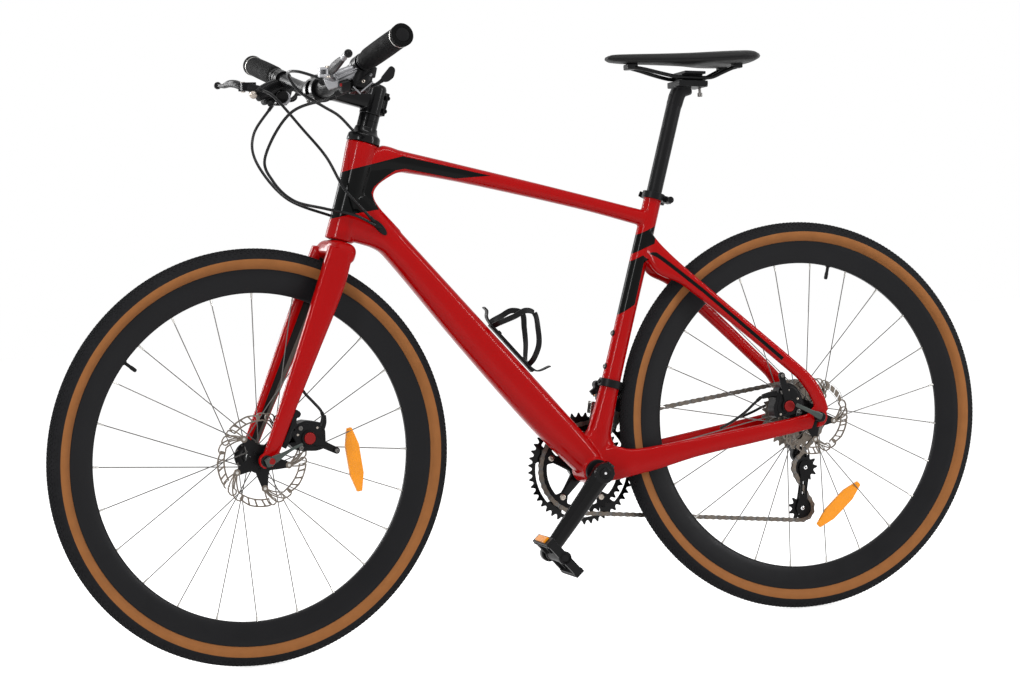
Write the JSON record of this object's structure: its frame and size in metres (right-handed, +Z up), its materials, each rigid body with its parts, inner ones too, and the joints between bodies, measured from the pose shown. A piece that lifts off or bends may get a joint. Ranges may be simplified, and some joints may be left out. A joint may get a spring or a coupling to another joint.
{
  "type": "gravel bicycle",
  "caption": "Flat-bar gravel bicycle with a sloping frame, straight fork, disc brakes, deep rims, derailleur gears, bottle cage, flat saddle and platform pedals.",
  "frame": {"origin": "on the floor under the middle of the wheelbase, on the frame's centre plane", "axes": "+Z up, -X the way the bicycle rides, +Y towards its right, drive side"},
  "size_m": [1.7106, 0.7087, 1.0593],
  "materials": {
    "red_paint": "gloss",
    "black_metal": "satin black anodised",
    "black_plastic": "matte",
    "rubber": "matte",
    "tyre": "black tread, brown sidewalls",
    "steel": "satin",
    "saddle_cover": "satin",
    "cable_jacket": "gloss"
  },
  "bodies": {
    "frame": {"frame": "red_paint", "upper_headset_bearing": "steel", "lower_headset_bearing": "steel", "left_bottom_bracket_cup": "black_metal", "right_bottom_bracket_cup": "black_metal", "seat_collar": "black_metal", "bottle_cage": "black_plastic", "front_derailleur": "black_metal", "rear_derailleur": "black_metal", "rear_caliper": "black_metal", "rear_axle": "steel", "rear_brake_lower_housing": "cable_jacket", "rear_derailleur_housing": "cable_jacket", "chain": "steel"},
    "steering": {"fork": "red_paint", "headset_cover": "black_plastic", "stem": "black_metal", "stem_faceplate": "black_metal", "handlebar": "black_metal", "left_grip": "rubber", "right_grip": "rubber", "left_control": "black_plastic", "right_control": "black_plastic", "front_caliper": "black_metal", "front_axle": "black_metal", "front_brake_housing": "cable_jacket", "front_brake_lower_housing": "cable_jacket", "right_shift_housing": "cable_jacket", "left_shift_housing": "cable_jacket", "rear_brake_housing": "cable_jacket"},
    "front_wheel": {"front_tyre": "tyre", "front_rim": "black_metal", "front_hub": "black_metal", "front_rotor": "steel"},
    "rear_wheel": {"rear_tyre": "tyre", "rear_rim": "black_metal", "rear_hub": "black_metal", "rear_rotor": "steel"},
    "cassette": {"cassette": "steel"},
    "crank": {"right_crank": "black_metal", "left_crank": "black_metal", "outer_chainring": "black_metal", "inner_chainring": "black_metal"},
    "left_pedal": {"left_pedal": "black_plastic"},
    "right_pedal": {"right_pedal": "black_plastic"},
    "derailleur_cage": {"rear_derailleur_cage": "black_metal"},
    "guide_pulley": {"guide_pulley": "black_plastic"},
    "tension_pulley": {"tension_pulley": "black_plastic"},
    "front_derailleur_cage": {"front_derailleur_cage": "black_metal"},
    "front_brake_arm": {"front_brake_arm": "black_metal"},
    "rear_brake_arm": {"rear_brake_arm": "black_metal"},
    "left_brake_lever": {"left_brake_lever": "black_metal"},
    "right_brake_lever": {"right_brake_lever": "black_metal"},
    "left_shift_lever": {"left_shift_lever": "black_plastic"},
    "right_shift_lever": {"right_shift_lever": "black_plastic"},
    "seat": {"saddle": "saddle_cover", "saddle_rails": "steel", "seatpost": "black_metal"},
    "seat_clamp_lever": {"seat_clamp_lever": "black_metal"},
    "front_axle_lever": {"front_axle_lever": "black_metal"}
  },
  "joints": [
    {"name": "steering_turn", "type": "hinge", "parent": "frame", "child": "steering", "pos_m": [-0.3384, 0, 0.7072], "axis": [0.3005, 0, 0.9538], "range_deg": [-57.8, 42.2], "deforming": ["right_shift_housing", "left_shift_housing", "rear_brake_housing"]},
    {"name": "front_wheel_spin", "type": "hinge", "parent": "steering", "child": "front_wheel", "pos_m": [-0.50553, -0.00717, 0.35085], "axis": [0.1294, -0.9907, -0.0408], "continuous": true},
    {"name": "rear_wheel_spin", "type": "hinge", "parent": "frame", "child": "rear_wheel", "pos_m": [0.506, 0, 0.351], "axis": [0, -1, 0], "continuous": true},
    {"name": "crank_spin", "type": "hinge", "parent": "frame", "child": "crank", "pos_m": [0.094, 0, 0.282], "axis": [0, -1, 0], "continuous": true, "deforming": ["chain"]},
    {"name": "cassette_spin", "type": "hinge", "parent": "frame", "child": "cassette", "pos_m": [0.506, 0, 0.351], "axis": [0, -1, 0], "continuous": true},
    {"name": "left_pedal_spin", "type": "hinge", "parent": "crank", "child": "left_pedal", "pos_m": [-0.01753, -0.125, 0.1537], "axis": [0, -1, 0], "continuous": true},
    {"name": "right_pedal_spin", "type": "hinge", "parent": "crank", "child": "right_pedal", "pos_m": [0.20553, 0.125, 0.4103], "axis": [0, -1, 0], "continuous": true},
    {"name": "derailleur_cage_swing", "type": "hinge", "parent": "frame", "child": "derailleur_cage", "pos_m": [0.518, 0.034, 0.276], "axis": [0, 1, 0], "range_deg": [-20, 40], "stiffness_Nm_per_rad": 0.6, "deforming": ["chain"]},
    {"name": "guide_pulley_spin", "type": "hinge", "parent": "derailleur_cage", "child": "guide_pulley", "pos_m": [0.522, 0.0278, 0.252], "axis": [0, -1, 0], "continuous": true},
    {"name": "tension_pulley_spin", "type": "hinge", "parent": "derailleur_cage", "child": "tension_pulley", "pos_m": [0.512, 0.0278, 0.178], "axis": [0, -1, 0], "continuous": true},
    {"name": "front_derailleur_shift", "type": "slide", "parent": "frame", "child": "front_derailleur_cage", "axis": [0, 1, 0], "range_m": [0, 0.006], "deforming": ["chain"]},
    {"name": "left_brake_pull", "type": "hinge", "parent": "steering", "child": "left_brake_lever", "pos_m": [-0.39603, -0.22834, 0.97136], "axis": [-0.2833, 0.0811, 0.9556], "range_deg": [0, 22], "stiffness_Nm_per_rad": 0.5},
    {"name": "right_brake_pull", "type": "hinge", "parent": "steering", "child": "right_brake_lever", "pos_m": [-0.44988, 0.18381, 0.98833], "axis": [0.243, 0.228, -0.9429], "range_deg": [0, 22], "stiffness_Nm_per_rad": 0.5},
    {"name": "front_brake_arm_turn", "type": "hinge", "parent": "steering", "child": "front_brake_arm", "pos_m": [-0.42168, -0.06304, 0.38038], "axis": [0.1294, -0.9907, -0.0408], "range_deg": [0, 26.5]},
    {"name": "rear_brake_arm_turn", "type": "hinge", "parent": "frame", "child": "rear_brake_arm", "pos_m": [0.4515, -0.07, 0.3735], "axis": [0, -1, 0], "range_deg": [0, 26.5]},
    {"name": "left_shift_push", "type": "hinge", "parent": "steering", "child": "left_shift_lever", "pos_m": [-0.32007, -0.20558, 0.95366], "axis": [-0.0027, 0.0408, -0.9992], "range_deg": [0, 20], "stiffness_Nm_per_rad": 0.3},
    {"name": "right_shift_push", "type": "hinge", "parent": "steering", "child": "right_shift_lever", "pos_m": [-0.37081, 0.18279, 0.96965], "axis": [0.0027, -0.0408, 0.9992], "range_deg": [0, 20], "stiffness_Nm_per_rad": 0.3},
    {"name": "seatpost_slide", "type": "slide", "parent": "frame", "child": "seat", "axis": [0.2923, 0, 0.9563], "range_m": [-0.09, 0.04]},
    {"name": "seat_clamp_open", "type": "hinge", "parent": "frame", "child": "seat_clamp_lever", "pos_m": [0.26598, 0.0262, 0.75155], "axis": [-0.2923, 0, -0.9563], "range_deg": [0, 160]},
    {"name": "front_axle_lever_open", "type": "hinge", "parent": "steering", "child": "front_axle_lever", "pos_m": [-0.49563, -0.08296, 0.34773], "axis": [0.3977, 0.0895, -0.9131], "range_deg": [0, 170]}
  ],
  "couplings": [
    {"joint": "cassette_spin", "follows": "crank_spin", "ratio": 1.3},
    {"joint": "guide_pulley_spin", "follows": "crank_spin", "ratio": -3.5455},
    {"joint": "tension_pulley_spin", "follows": "crank_spin", "ratio": 3.5455},
    {"joint": "front_brake_arm_turn", "follows": "left_brake_pull", "ratio": 1.2},
    {"joint": "rear_brake_arm_turn", "follows": "right_brake_pull", "ratio": 1.2}
  ]
}
